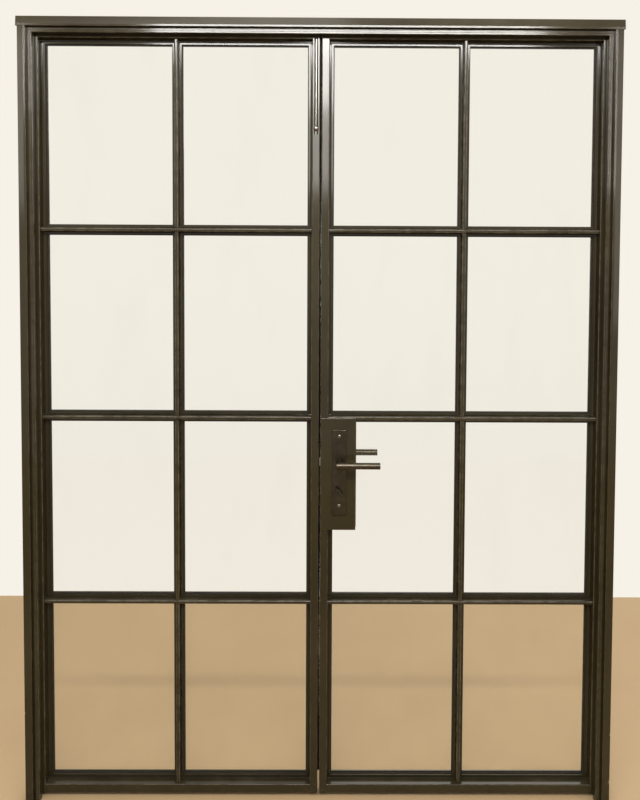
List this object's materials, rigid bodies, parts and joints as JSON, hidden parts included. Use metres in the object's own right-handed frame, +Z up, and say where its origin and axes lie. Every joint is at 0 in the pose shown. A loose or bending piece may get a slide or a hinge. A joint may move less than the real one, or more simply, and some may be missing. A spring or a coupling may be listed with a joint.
{
  "type": "french doors",
  "caption": "Pair of glazed steel doors with slim glazing bars in a three-sided steel frame, with lever handles, a mortise lock, a top bolt and lift-off hinges.",
  "frame": {"origin": "on the floor, under the middle of the gap between the closed doors and in the middle of their thickness", "axes": "+X to the right along the closed doors seen from the side with the frame stops, +Y through the doors the way they open, +Z up"},
  "size_m": [1.561, 0.147, 2.069],
  "materials": {
    "dark_paint": "semi-gloss dark bronze paint",
    "dark_bronze": "satin dark bronze coating",
    "bright_steel": "plain machined or plated steel",
    "brass": "plain turned brass",
    "clear_glass": "clear float glass",
    "black_rubber": "matt black rubber",
    "black_pile": "black brush pile"
  },
  "bodies": {
    "frame": {"jamb_left": "dark_paint", "jamb_right": "dark_paint", "head_tube": "dark_paint", "side_stops": "dark_paint", "head_stop": "dark_paint", "side_trims": "dark_paint", "head_trim": "dark_paint", "stop_seals": "black_rubber", "bolt_keeper": "brass", "hinge_frame_halves": "dark_paint", "hinge_pins": "bright_steel"},
    "leaf_left": {"left_hinge_stile": "dark_paint", "left_meeting_stile": "dark_paint", "left_top_rail": "dark_paint", "left_bottom_rail": "dark_paint", "left_upright_bar": "dark_paint", "left_cross_bars": "dark_paint", "left_panes": "clear_glass", "left_glazing_beads": "dark_paint", "left_gaskets": "black_rubber", "left_glazing_tape": "black_rubber", "left_hinge_leaf_halves": "dark_paint", "meeting_seal": "black_pile", "strike_plate": "dark_bronze", "strike_screws": "bright_steel", "bolt_guide": "dark_paint"},
    "top_bolt": {"bolt_rod": "dark_bronze", "bolt_button": "dark_bronze"},
    "leaf_right": {"right_hinge_stile": "dark_paint", "right_meeting_stile": "dark_paint", "right_top_rail": "dark_paint", "right_bottom_rail": "dark_paint", "right_upright_bar": "dark_paint", "right_cross_bars": "dark_paint", "right_panes": "clear_glass", "right_notched_pane": "clear_glass", "right_glazing_beads": "dark_paint", "right_gaskets": "black_rubber", "right_glazing_tape": "black_rubber", "right_hinge_leaf_halves": "dark_paint", "lock_box": "dark_paint", "near_cover_plate": "dark_paint", "far_cover_plate": "dark_paint", "lock_case": "bright_steel", "lock_faceplate": "dark_bronze", "faceplate_screws": "bright_steel", "near_back_plate": "dark_bronze", "far_back_plate": "dark_bronze", "plate_bolts": "dark_bronze"},
    "lever_set": {"near_lever": "dark_bronze", "far_lever": "dark_bronze", "lever_spindle": "bright_steel", "lever_follower": "bright_steel"},
    "latch": {"latch_tongue": "bright_steel"},
    "turn_set": {"thumb_turn": "dark_bronze", "turn_spindle": "bright_steel", "turn_follower": "bright_steel", "emergency_release": "dark_bronze"},
    "bolt": {"deadbolt": "bright_steel"}
  },
  "joints": [
    {"name": "left_door_swing", "type": "hinge", "parent": "frame", "child": "leaf_left", "pos_m": [-0.756, 0.0295, 0], "axis": [0, 0, 1], "range_deg": [0, 110]},
    {"name": "right_door_swing", "type": "hinge", "parent": "frame", "child": "leaf_right", "pos_m": [0.756, 0.0295, 0], "axis": [0, 0, -1], "range_deg": [0, 110]},
    {"name": "top_bolt_slide", "type": "slide", "parent": "leaf_left", "child": "top_bolt", "axis": [0, 0, -1], "range_m": [0, 0.012]},
    {"name": "lever_turn", "type": "hinge", "parent": "leaf_right", "child": "lever_set", "pos_m": [0.0525, 0, 0.916], "axis": [0, 1, 0], "range_deg": [0, 40], "stiffness_Nm_per_rad": 1.5, "springref_deg": -28.65},
    {"name": "latch_slide", "type": "slide", "parent": "leaf_right", "child": "latch", "axis": [1, 0, 0], "range_m": [0, 0.011]},
    {"name": "turn_rotation", "type": "hinge", "parent": "leaf_right", "child": "turn_set", "pos_m": [0.0525, 0, 0.838], "axis": [0, 1, 0], "range_deg": [0, 90]},
    {"name": "deadbolt_slide", "type": "slide", "parent": "leaf_right", "child": "bolt", "axis": [-1, 0, 0], "range_m": [0, 0.014]}
  ],
  "couplings": [
    {"joint": "latch_slide", "follows": "lever_turn", "m_per_rad": 0.01575},
    {"joint": "turn_rotation", "follows": "deadbolt_slide", "rad_per_m": 112.19}
  ]
}
